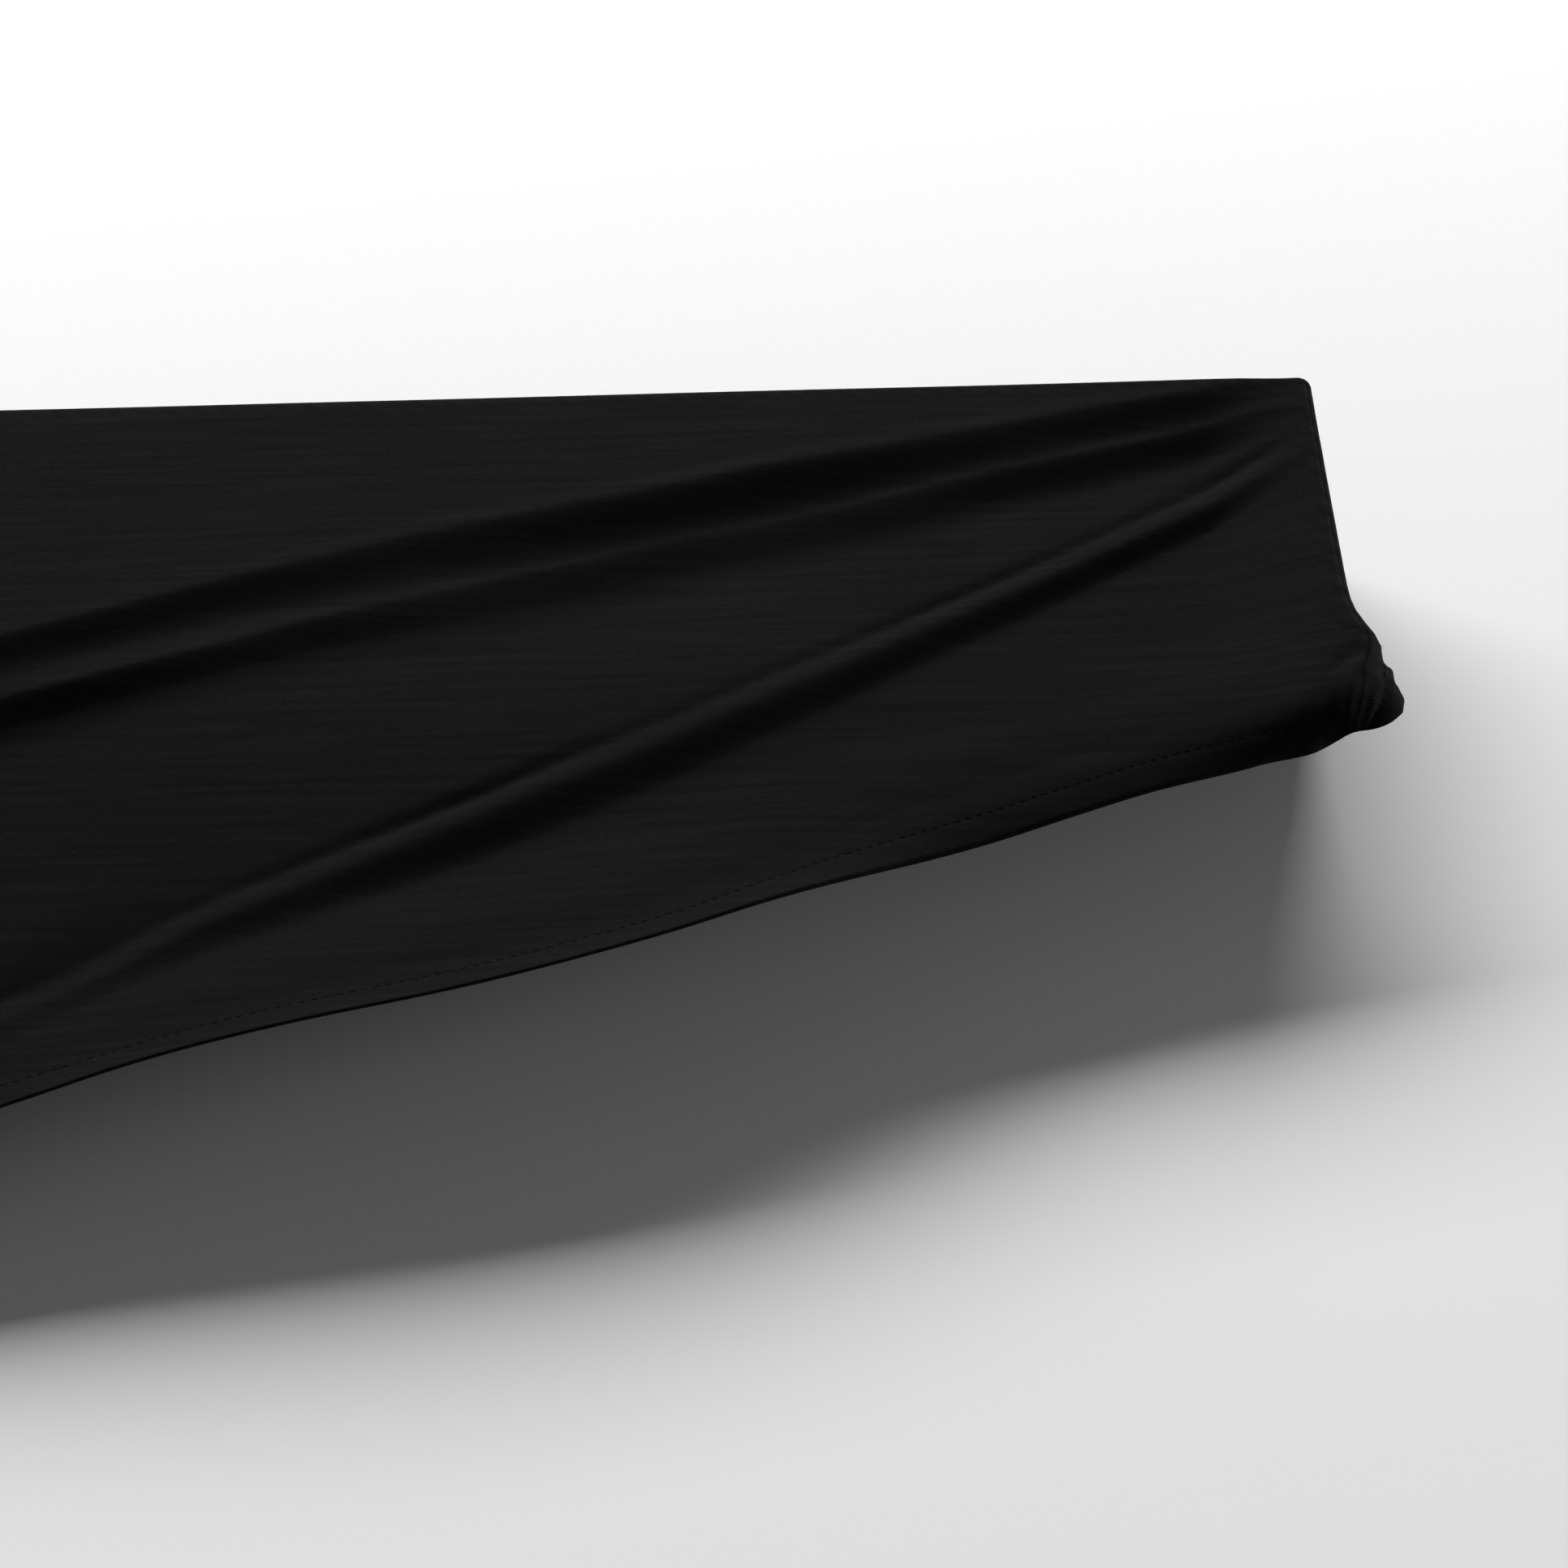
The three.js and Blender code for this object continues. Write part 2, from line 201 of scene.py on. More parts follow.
def crest_y(fold, x):
    """Crest seen from above: a straight line, bowed forwards by a bell, and wandering a little."""
    line = fold["y"] + fold["slope"] * (x - fold["x"])
    bowed = line - fold["bow"] * bell(x - fold["bow_x"], fold["bow_width"])
    return bowed + WANDER * uneven(x, WANDER_LENGTH, fold["seed"])


def fan_width(x):
    """Share of its full width that a fold has: 1, and less where the folds run together."""
    at_left = mix(FAN["left_share"], 1, smoothstep(x, *FAN["left"]))
    return at_left * mix(1, FAN["right_share"], smoothstep(x, *FAN["right"]))


print("crests in Y at X 250:", [round(float(crest_y(fold, 250.0)), 1) for fold in FOLDS])

# %% Section of a fold
BACK_EDGE_RUN = 50
BACK_RUNS_TO_EDGE = 1.6
CREST_ROUND = 1.5
LEFT_PART = (120, 260)
RIGHT_PART = (290, 400)
RECOVER_ROUND = 6.0
RECOVER_AT_RIGHT = 3.5


def fold_section(fold, x, across):
    """Section like a dune: behind the crest the rise dies away as an exponential, in front the cloth
    drops by a smooth step of (distance / run)^lean, and then recovers as an exponential."""
    to_back = FLAT_Y - crest_y(fold, x)
    rise = fold["rise"] * smoothstep(to_back, 0, BACK_EDGE_RUN)
    at_left = 1 + fold["at_left"] * (1 - smoothstep(x, *LEFT_PART))
    drop = (fold["drop"] - fold["rise"] + rise) * at_left
    back = np.minimum(fold["back"], np.maximum(to_back, 1) / BACK_RUNS_TO_EDGE)
    run = fold["run"] * fan_width(x)
    behind = rise * np.exp((CREST_ROUND - np.hypot(across, CREST_ROUND)) / back)
    ahead = np.maximum(-across, 0)
    front = rise - drop * smoothstep((ahead / run) ** fold["lean"], 0, 1)
    past = np.hypot(np.maximum(ahead - run, 0), RECOVER_ROUND) - RECOVER_ROUND
    recover = fold["recover"] * mix(1, RECOVER_AT_RIGHT, smoothstep(x, *RIGHT_PART))
    return np.where(across > 0, behind, front * np.exp(-past / recover))


# %% Height of a fold
FOLD_START_RUN = 45
FOLD_FADE_RUN = 110
BACK_EDGE_FADE = 9
SWELL = dict(share=0.12, length=170, seed=3)
PINCH = dict(width=2.4, share=0.4, length=60, seed=1)
NICK = dict(width=3.2, behind=7.0, share=0.6, length=130, seed=5.9)


def varied(fold, x, effect):
    """1 plus a share of an uneven run along X, with a wave length and a seed for each effect."""
    return 1 + effect["share"] * uneven(x, effect["length"], fold["seed"] + effect["seed"])


def fold_height(fold, x, y):
    """The dune's section, plus the pinched crest, less a nick behind it, faded in and out along X."""
    across = (y - crest_y(fold, x)) / math.hypot(1, fold["slope"])
    section = fold_section(fold, x, across) * varied(fold, x, SWELL)
    pinch = fold["pinch"] * bell(across, PINCH["width"]) * varied(fold, x, PINCH)
    nick = fold["nick"] * bell(across - NICK["behind"], NICK["width"]) * varied(fold, x, NICK)
    start = 1 - smoothstep(x, fold["right"] - FOLD_START_RUN, fold["right"])
    fade = smoothstep(x, fold["left"] - FOLD_FADE_RUN, fold["left"] + FOLD_FADE_RUN)
    off_edge = smoothstep(FLAT_Y - y, 0, BACK_EDGE_FADE)
    return (section + (pinch - nick) * off_edge) * start * fade


crest_heights = [float(fold_height(fold, 250.0, crest_y(fold, 250.0))) for fold in FOLDS]
print("crest heights at X 250:", [round(height, 2) for height in crest_heights])

# %% [markdown]
# ## Faint creases
#
# Between the folds the knit is not quite flat. It has short, shallow creases, two of them where it
# starts to bend down to the hem, and small wrinkles where it is bunched at the right end. Each is a
# straight line with a bell across it, and it fades at both ends. A row of the table gives the two
# ends of the line, the width and the depth.

# %% Table of the creases
CREASES = [
    ((420, 101), (458, 115), 3.5, 0.45),
    ((318, -6), (376, 3), 5, 0.35),
    ((372, 3), (424, 21), 5, 0.35),
    ((98, -80), (150, -57), 7, 0.9),
    ((108, 88), (146, 99), 5, 0.3),
    ((180, 52), (236, 62), 6, 0.25),
    ((205, -22), (262, -8), 7, 0.25),
    ((-230, -60), (-120, -40), 16, 0.8),
    ((-330, 30), (-200, 48), 18, 0.8),
    ((-420, -95), (-330, -70), 15, 0.7),
    ((456, 13), (463, 19), 2.0, 1.6),
    ((458, 36), (459, 27), 1.6, 0.8),
]
print(len(CREASES), "creases")

# %% Height of the creases
CREASE_FADE = 0.35


def crease_height(x, y):
    """Sum over the table: minus depth times a bell of the distance from the line, times smooth steps
    at both ends of the line."""
    height = np.zeros_like(x)
    for (x0, y0), (x1, y1), width, depth in CREASES:
        length = math.hypot(x1 - x0, y1 - y0)
        along = ((x - x0) * (x1 - x0) + (y - y0) * (y1 - y0)) / length**2
        across = ((y - y0) * (x1 - x0) - (x - x0) * (y1 - y0)) / length
        window = smoothstep(along, -CREASE_FADE, CREASE_FADE)
        window = window * (1 - smoothstep(along, 1 - CREASE_FADE, 1 + CREASE_FADE))
        height -= depth * bell(across, width) * window
    return height


print("deepest crease in mm:", max(depth for *_, depth in CREASES))

# %% [markdown]
# ## The pulled-back hem
#
# The hem leaves the front edge, crosses the top on a slant and meets the right end. At the left it
# curls up a little, further right it curls down, and at the very end it is flatter again. The curl is
# a piece of an arc whose length is always the width of the hem, so the cloth is never stretched by
# bending it more. A row for a curl gives its angle in degrees and where it starts and ends in X. A row
# for a bow gives how far it moves the line forwards, and its middle and width in X.

# %% Line and section of the pulled-back hem
HEM_WIDTH = 18.0
HEM_END_Y = -4.4
HEM_SLOPE = 0.364
HEM_BOWS = [(-3.0, 105, 50), (5.9, 225, 45), (9.2, 285, 50), (3.0, 468, 12)]
HEM_CURLS = [(-20, 75, 140), (40, 282, 362), (27, 395, 440), (32, 432, 450), (-40, 447, 461)]
FLATTEST_CURL = 0.01
FRONT_ROUNDING = 8.0


def hem_section(share, x):
    """Arc of the hem's width at a share of its length: out is r sin(a), down is r (1 - cos(a))."""
    angle = sum(math.radians(turn) * smoothstep(x, start, end) for turn, start, end in HEM_CURLS)
    angle = np.where(np.abs(angle) < FLATTEST_CURL, FLATTEST_CURL, angle)
    radius = HEM_WIDTH / angle
    return radius * np.sin(angle * share), radius * (1 - np.cos(angle * share))


def front_y(x):
    """Front limit of the top: the larger of the front edge and the hem's inner line, as the mean of
    both plus half the length of (their difference, rounding)."""
    bow = sum(depth * bell(x - middle_x, width) for depth, middle_x, width in HEM_BOWS)
    hem_edge = HEM_END_Y - HEM_SLOPE * (FLAT_X - x) - bow
    hem_line = hem_edge + hem_section(1.0, x)[0] * math.hypot(1, HEM_SLOPE)
    return (hem_line - FLAT_Y + np.hypot(hem_line + FLAT_Y, FRONT_ROUNDING)) / 2


inner_line = front_y(np.array([120.0, 300.0, 450.0]))
print("hem's inner line in Y at X 120, 300 and 450:", inner_line.round(1))

# %% [markdown]
# ## The top
#
# The top lies on the form, higher at the back than at the front, and hangs a little lower between
# the ends. On this slope the folds, the creases and the soft roll above the hem are simply added,
# because cloth this thin bends far more easily than it stretches. Close to the hem the folds are
# calmed, since the elastic in it pulls them straight: wholly in the middle, in part at both sides.

# %% Sag of the top and roll above the hem
MIDDLE_DIP = 9.6
END_RISE = 4.5
SAG_POWER = 1.5
FRONT_SAG = dict(depth=10.0, end_run=160, y=(-90, 30))
HEM_ROLL = dict(
    share=0.12, run=42.0, ahead=14.0, width=34.0, rise=6.3, start=(40, 270), end=(290, 370)
)


def sag(x, y):
    """How far the top hangs below the plane of the ends: all over by 1 - |x|^1.5, and along the
    front by a parabola from each end."""
    all_over = END_RISE * (1 - (np.abs(x) / SIDE_X) ** SAG_POWER)
    from_end = np.clip((SIDE_X - np.abs(x)) / FRONT_SAG["end_run"], 0, 1)
    to_front = 1 - smoothstep(y, *FRONT_SAG["y"])
    return all_over + FRONT_SAG["depth"] * (1 - (1 - from_end) ** 2) * to_front


def hem_roll(x, y):
    """The cloth rises towards the hem by a share of the hem's own drop, as half a bell, and a little
    more in a soft roll beside it."""
    behind = y - front_y(x)
    rest = HEM_ROLL["share"] * np.maximum(hem_section(1.0, x)[1], 0) * bell(behind, HEM_ROLL["run"])
    roll = HEM_ROLL["rise"] * bell(behind + HEM_ROLL["ahead"], HEM_ROLL["width"])
    window = smoothstep(x, *HEM_ROLL["start"]) * (1 - smoothstep(x, *HEM_ROLL["end"]))
    return rest + roll * window


print(f"sag in the middle of the front {float(sag(0.0, -FLAT_Y)):.1f} mm")

# %% Height of the top
HEM_CALM = dict(run=40.0, right_keep=0.65, right=(250, 340), left_keep=0.5, left=(120, 200))


def top_z(x, y):
    """Middle surface of the top: sloped plane, less the sag, plus folds, creases and roll. Towards the
    hem the folds keep only a share of their height, by a smooth step of the distance from it."""
    plane = SOLID_CLOTH - CLOTH / 2 + MIDDLE_DIP + TOP_SLOPE * y
    kept = HEM_CALM["right_keep"] * smoothstep(x, *HEM_CALM["right"])
    kept = kept + HEM_CALM["left_keep"] * (1 - smoothstep(x, *HEM_CALM["left"]))
    calm = mix(kept, 1, smoothstep(y - front_y(x), 0, HEM_CALM["run"]))
    folds = sum(fold_height(fold, x, y) for fold in [*FOLDS, SHORT_FOLD]) * calm
    return plane - sag(x, y) + folds + crease_height(x, y) + hem_roll(x, y)


print(f"top at the origin {float(top_z(np.zeros(1), np.zeros(1))[0]):.2f} mm")

# %% [markdown]
# ## A grid that follows the folds
#
# A ridge that crosses a square grid on a slant comes out as stairs. So the columns run straight to
# the back, but the rows bend: they follow the crests and troughs, are close together there, and
# spread out evenly where the folds have faded. Columns are closer together at the bunched right end.

# %% Columns
COLUMNS = 264
COLUMN_SAMPLES = 4001
CLOSE_COLUMNS = [(2.2, 1, 350, 425), (2.5, 1, 435, 455), (2.0, -1, 430, 460)]


def column_places():
    """Places in X at equal steps of the running sum of a density: 1, and more at the ends by rows of
    extra, side, start and end."""
    x = np.linspace(-FLAT_X, FLAT_X, COLUMN_SAMPLES)
    closer = (extra * smoothstep(side * x, start, end) for extra, side, start, end in CLOSE_COLUMNS)
    density = sum(closer, 1.0)
    run = np.concatenate([[0], np.cumsum((density[1:] + density[:-1]) / 2)])
    return np.interp(np.linspace(0, run[-1], COLUMNS + 1), run, x)


columns = column_places()
print(f"columns {np.diff(columns).min():.2f} to {np.diff(columns).max():.2f} mm apart")

# %% Rows in lanes
LANE_ROWS = [11, 8, 8, 6, 4, 6, 8, 6, 11, 14, 8, 6, 16]
LANE_OFFSETS = [0.0, -7.0, -12.0]
ROWS = sum(LANE_ROWS)
LEAST_ROW_GAP = 0.25
RELAX_RUN = 240


def lane_lines(x):
    """Lines between the lanes, back to front: for each fold one behind it, its crest and two in front,
    moved to even shares where the fold has faded, and kept apart by the least gap."""
    back, front = np.full_like(x, FLAT_Y), front_y(x)
    lines = [back]
    for fold in FOLDS:
        faded = fold["left"] - FOLD_FADE_RUN
        relax = 1 - smoothstep(x, faded - RELAX_RUN, faded)
        slant = math.hypot(1, fold["slope"])
        for offset in (fold["lane"], *LANE_OFFSETS):
            even = mix(back, front, sum(LANE_ROWS[: len(lines)]) / ROWS)
            lines.append(mix(crest_y(fold, x) + offset * fan_width(x) * slant, even, relax))
    lines.append(front)
    for k in range(1, len(lines) - 1):
        lines[k] = np.minimum(lines[k], lines[k - 1] - LEAST_ROW_GAP * LANE_ROWS[k - 1])
    for k in range(len(lines) - 2, 0, -1):
        lines[k] = np.maximum(lines[k], lines[k + 1] + LEAST_ROW_GAP * LANE_ROWS[k])
    return lines


lanes = lane_lines(columns)
print(len(lanes) - 1, "lanes with", ROWS, "rows")

# %% Grid of the top, seen from above
FRONT_CROWDING = dict(extra=0.5, width=(8, 30))


def round_corner(x, y):
    """Rounds the corners in plan by the mapping of a square onto a disc: a sqrt(1 - b^2 / 2)."""
    a = np.clip((np.abs(x) - FLAT_X) / CORNER_RADIUS + 1, 0, 1)
    b = np.clip((np.abs(y) - FLAT_Y) / CORNER_RADIUS + 1, 0, 1)
    inset_x = CORNER_RADIUS * a * (1 - np.sqrt(1 - b * b / 2))
    inset_y = CORNER_RADIUS * b * (1 - np.sqrt(1 - a * a / 2))
    return x - np.sign(x) * inset_x, y - np.sign(y) * inset_y


def top_grid():
    """X and Y of every point: columns at their places, rows at shares of each lane. In the last lane,
    where it is wide, the rows crowd towards the front."""
    rows = [lanes[0][None, :]]
    for k, count in enumerate(LANE_ROWS):
        is_last = k == len(LANE_ROWS) - 1
        wide = smoothstep(lanes[k] - lanes[k + 1], *FRONT_CROWDING["width"])
        crowding = 1 + is_last * FRONT_CROWDING["extra"] * wide
        share = 1 - (1 - np.arange(1, count + 1)[:, None] / count) ** crowding
        rows.append(mix(lanes[k], lanes[k + 1], share))
    y = np.concatenate(rows).T
    x = np.repeat(columns[:, None], ROWS + 1, axis=1)
    return round_corner(x, y)


flat_x, flat_y = top_grid()
top = np.stack([flat_x, flat_y, top_z(flat_x, flat_y)], axis=-1)
print("grid of the top:", top.shape[:2])

# %% [markdown]
# ## The edge of the top
#
# The falls hang from the edge of the top, so the next step walks once round that edge: along the
# front, up the right end, back along the rear edge and down the left end. At each point it notes the
# outward direction in plan, how far the cloth falls there, whether the hem still lies on the top,
# and whether the elastic draws the hem in under the form.
#
# Corners need care, because cloth that is bent two ways at once soon cuts through itself. Round the
# pulled-back corner the directions fan out, and at the other three the turned-in hem is eased.

# %% Walk round the edge
def loop_run(loop):
    """Running length along a closed loop of points, from 0 to the whole length."""
    steps = np.linalg.norm(np.roll(loop, -1, axis=0) - loop, axis=1)
    return np.concatenate([[0], np.cumsum(steps)])


top_index = np.arange(top[..., 0].size).reshape(top.shape[:2])
edge_index = np.concatenate(
    [top_index[:-1, -1], top_index[-1, :0:-1], top_index[:0:-1, 0], top_index[0, :-1]]
)
edge = top.reshape(-1, 3)[edge_index]
on_front = np.arange(len(edge)) < COLUMNS
on_right = ~on_front & (np.arange(len(edge)) < COLUMNS + ROWS)
edge_run = loop_run(edge)
from_corner = edge_run[:-1] - edge_run[COLUMNS]
print(f"{len(edge)} points round the edge, which is {edge_run[-1] * MM:.2f} m long")

# %% Outward directions
CORNER_RUN = 9.0
CORNER_SQUARE = 0.19


def unit(vectors):
    """The same directions, each of length 1."""
    return vectors / np.linalg.norm(vectors, axis=-1, keepdims=True)


def outward_in_plan(loop):
    """Mean of the arriving and departing unit directions in plan, turned right by 90 degrees."""
    steps = unit(np.roll(loop, -1, axis=0)[:, :2] - loop[:, :2])
    along = unit(steps + np.roll(steps, 1, axis=0))
    return np.stack([along[:, 1], -along[:, 0]], axis=1)


def fan_corner(directions):
    """Near the right front corner: turns from the hem's direction to +X by a smooth step t of the run
    along the edge, so the cloth spreads round the corner, and is longer by a share of 4 t (1 - t)."""
    turn = smoothstep(from_corner, -CORNER_RUN, CORNER_RUN)[:, None]
    from_hem = np.array([HEM_SLOPE, -1.0]) / math.hypot(1, HEM_SLOPE)
    hem_side = np.where((from_corner < 0)[:, None], directions, from_hem)
    fanned = unit(mix(hem_side, np.array([1.0, 0.0]), turn))
    squarer = 1 + 4 * CORNER_SQUARE * turn * (1 - turn)
    return np.where(np.abs(from_corner)[:, None] < CORNER_RUN, fanned * squarer, directions)


outward = fan_corner(outward_in_plan(edge))
print("outward at the pulled-back corner:", outward[COLUMNS].round(2))

# %% How far the cloth falls
HEM_EXTRA = 1.6
HEM_Z = low[2] + CLOTH / 2 + HEM_EXTRA / 2
FRONT_FALL = dict(start=88, slope=0.36)
END_FALL_SLOPE = 0.8
HANGS_AT_FRONT = (3, 18)
HANGS_AT_END = (0, 16)
TURNS_IN = (0.7, 1)

full_fall = edge[:, 2] - HEM_Z
front_fall = np.clip(FRONT_FALL["slope"] * (FRONT_FALL["start"] - edge[:, 0]), 0, full_fall)
raised = hem_roll(edge[:, 0], edge[:, 1])
right_fall = np.clip(raised + END_FALL_SLOPE * (edge[:, 1] - HEM_END_Y), 0, full_fall)
fall = np.where(on_front, front_fall, np.where(on_right, right_fall, full_fall))
from_hem_end = edge[:, 1] - front_y(np.array([FLAT_X]))[0]
hanging = np.where(on_right, smoothstep(from_hem_end, *HANGS_AT_END), 1.0)
hanging = np.where(on_front, smoothstep(fall, *HANGS_AT_FRONT), hanging)
turned = smoothstep(fall / full_fall, *TURNS_IN)
print(f"longest fall {fall.max():.1f} mm, hem turned in on {turned.mean():.0%} of the edge")

# %% Ease at the whole corners
CORNER_EASE = dict(share=0.36, run=14.0)

whole_corners = edge_run[[0, COLUMNS + ROWS, 2 * COLUMNS + ROWS, -1]]
to_whole_corner = np.min(np.abs(edge_run[:-1, None] - whole_corners), axis=1)
eased = mix(CORNER_EASE["share"], 1, smoothstep(to_whole_corner, 0, CORNER_EASE["run"]))
print(f"{np.mean(eased < 1):.0%} of the points lie near a whole corner")

# %% [markdown]
# ## The bunched end
#
# At the right end the cloth that was pushed together stands out in a lobe beside the hem. It could be
# sculpted, but two bells, one along the edge and one down the fall, leave no rim where the lobe grows
# out of the flat end. It pushes the cloth outwards in X, and the nearby top a little upwards.

# %% Lobe at the right end
LOBE = dict(y=23, width=12, deep=0.35, spread=0.6, reach=24, out=6.0, lift=0.8)


def lobe_push(x, y, share, kind):
    """Push of the lobe: its out or lift times a bell along the edge, times a bell down the fall, faded
    in over the last stretch of the top."""
    along, down = bell(y - LOBE["y"], LOBE["width"]), bell(share - LOBE["deep"], LOBE["spread"])
    return LOBE[kind] * along * down * smoothstep(x, FLAT_X - LOBE["reach"], FLAT_X)


top[..., 2] += lobe_push(flat_x, flat_y, 0.0, "lift")
edge[:, 2] += lobe_push(edge[:, 0], edge[:, 1], 0.0, "lift")
top[..., 0] += lobe_push(flat_x, flat_y, 0.0, "out")
print(f"right end stands out by up to {top[..., 0].max() - FLAT_X:.1f} mm")

# %% [markdown]
# ## The falls
#
# From the edge the cloth rounds over, falls straight and turns in under the form at its hem, as a
# fitted sheet does. Where the hem lies on the top, the same rings are the curled hem instead. Near a
# hem that is drawn in, the elastic gathers the cloth in soft upright ripples. Round the pulled-back
# corner the slack hem is crushed into tight crinkles, which slant as they run down.

# %% Section of a fall
ROUND_RINGS, FALL_RINGS, HEM_RINGS = 5, 9, 6
RINGS = ROUND_RINGS + FALL_RINGS + HEM_RINGS
HEM_TURN = 4.5
HEM_TURN_ANGLE = math.radians(95)
FALL_CROWDING = 1.6


def fall_section(ring):
    """Out and down at one ring: a quarter circle, then a straight fall whose rings crowd towards the
    hem, then an arc that turns in under the form where the hem is drawn in."""
    straight = np.maximum(fall - EDGE_RADIUS, 1)
    even_height = straight * HEM_RINGS / (FALL_RINGS + HEM_RINGS)
    hem_height = np.minimum(mix(HEM_WIDTH, HEM_TURN, turned), even_height)
    hem_top = EDGE_RADIUS + straight - hem_height
    if ring <= ROUND_RINGS:
        angle = math.pi / 2 * ring / ROUND_RINGS
        out = np.full_like(fall, EDGE_RADIUS * math.sin(angle))
        return out, np.full_like(fall, EDGE_RADIUS * (1 - math.cos(angle)))
    if ring <= ROUND_RINGS + FALL_RINGS:
        share = 1 - (1 - (ring - ROUND_RINGS) / FALL_RINGS) ** FALL_CROWDING
        return np.full_like(fall, EDGE_RADIUS), mix(EDGE_RADIUS, hem_top, share)
    share = (ring - ROUND_RINGS - FALL_RINGS) / HEM_RINGS
    angle = HEM_TURN_ANGLE * share
    out = EDGE_RADIUS - HEM_TURN * turned * eased * (1 - math.cos(angle))
    return out, hem_top + hem_height * mix(share, math.sin(angle), turned)


print(f"lowest point of a fall {fall_section(RINGS)[1].max():.1f} mm below the edge")

# %% Gathers and crinkles
GATHERS = dict(depth=1.1, height=20.0, length=23.0, seed=1.3)
CRINKLES = dict(
    depth=1.0, length=6.0, ahead=15.0, behind=10.0, slant=7.0, start=(0.1, 0.5), seed=0.8
)

ripple = turned * eased * GATHERS["depth"] * uneven(edge_run[:-1], GATHERS["length"], GATHERS["seed"])


def crinkle_height(share):
    """Crinkles at a share of the way down: depth times a bell of the run from the corner, times a
    smooth step of the share, times an uneven run that is shifted by the slant on its way down."""
    reach = np.where(from_corner > 0, CRINKLES["behind"], CRINKLES["ahead"])
    depth = CRINKLES["depth"] * bell(from_corner, reach) * smoothstep(share, *CRINKLES["start"])
    shifted = from_corner + CRINKLES["slant"] * share
    return depth * uneven(shifted, CRINKLES["length"], CRINKLES["seed"])


print(f"crinkles up to {np.abs(crinkle_height(1.0)).max():.1f} mm")

# %% Rings of the falls
END_REACH = 0.62


def ring_points(ring):
    """One ring: the edge moved out and down by the mix of hem section and fall section, rippled by
    the gathers, which die away upwards as a bell, crinkled, and pushed out by the lobe. In X the hem
    stands only a share further out than a fall does."""
    share = ring / RINGS
    hem_out, hem_down = hem_section(share, edge[:, 0])
    fall_out, fall_down = fall_section(ring)
    out, down = mix(hem_out, fall_out, hanging), mix(hem_down, fall_down, hanging)
    gathered = ripple * bell(fall - down, GATHERS["height"]) * smoothstep(down, 0, 2 * EDGE_RADIUS)
    crinkled = crinkle_height(share)
    relief = gathered + crinkled
    x = edge[:, 0] + outward[:, 0] * (np.minimum(out, mix(fall_out, out, END_REACH)) + relief)
    y = edge[:, 1] + outward[:, 1] * (out + relief)
    push = lobe_push(edge[:, 0], edge[:, 1], share, "out")
    return np.stack([x + push, y, edge[:, 2] - down + crinkled], axis=1)


rings = np.stack([ring_points(ring) for ring in range(1, RINGS + 1)])
print("rings of the falls:", rings.shape[:2])

# %% [markdown]
# ## Thickness, hem and rim
#
# Real cloth has two faces. A Solidify modifier could add the second one, but the hem is thicker than
# the rest, and only inwards, where the cloth is turned up round the elastic. So both skins are worked
# out here: each point moves along the mean normal of the faces round it, the inner skin further
# within the width of the hem, and a half round joins the two at the open edge. The hem stays thin
# where it lies flat at the left, and at the corners, where a thick one would cut through itself.

# %% Faces of the middle surface
middle = np.concatenate([top.reshape(-1, 3), rings.reshape(-1, 3)])
ring_index = top_index.size + np.arange(rings[..., 0].size).reshape(rings.shape[:2])
ring_index = np.concatenate([edge_index[None], ring_index])


def band_quads(bands):
    """Quads between each closed ring of point numbers and the next ring."""
    here, after = bands[:-1], bands[1:]
    beside_here, beside_after = np.roll(here, -1, axis=-1), np.roll(after, -1, axis=-1)
    return np.stack([here, after, beside_after, beside_here], axis=-1).reshape(-1, 4)


top_quads = np.stack(
    [top_index[:-1, :-1], top_index[:-1, 1:], top_index[1:, 1:], top_index[1:, :-1]], axis=-1
).reshape(-1, 4)
middle_quads = np.concatenate([top_quads, band_quads(ring_index)])
print("points and quads of the middle surface:", len(middle), len(middle_quads))

# %% Normals and distance from the open edge
FAR_FROM_HEM = 1000.0


def point_normals(points, quads):
    """Unit sum of the cross products of the diagonals of all quads round a point."""
    corner = points[quads]
    facing = np.cross(corner[:, 2] - corner[:, 0], corner[:, 3] - corner[:, 1])
    total = np.zeros_like(points)
    for side in range(4):
        np.add.at(total, quads[:, side], facing)
    return unit(total)


normals = point_normals(middle, middle_quads)
fall_steps = np.linalg.norm(np.diff(middle[ring_index], axis=0), axis=2)
to_open_edge = np.zeros(ring_index.shape)
to_open_edge[:-1] = np.cumsum(fall_steps[::-1], axis=0)[::-1]
hem_distance = np.full(len(middle), FAR_FROM_HEM)
hem_distance[ring_index] = to_open_edge
print(f"cloth between edge and hem: {to_open_edge[0].min():.1f} to {to_open_edge[0].max():.1f} mm")

# %% Both skins
STITCH_LINE = 8.0
GROOVE = dict(depth=0.10, width=1.0)
HEM_FOLD = (8.3, 9.7)
FLAT_HEM = dict(share=0.1, end=(262, 350))
CORNER_THIN_RUN = 28
SHORT_FALL = dict(at=10, width=10)

groove = GROOVE["depth"] * bell(hem_distance - STITCH_LINE, GROOVE["width"])
outer = middle + normals * (CLOTH / 2 - groove)[:, None]

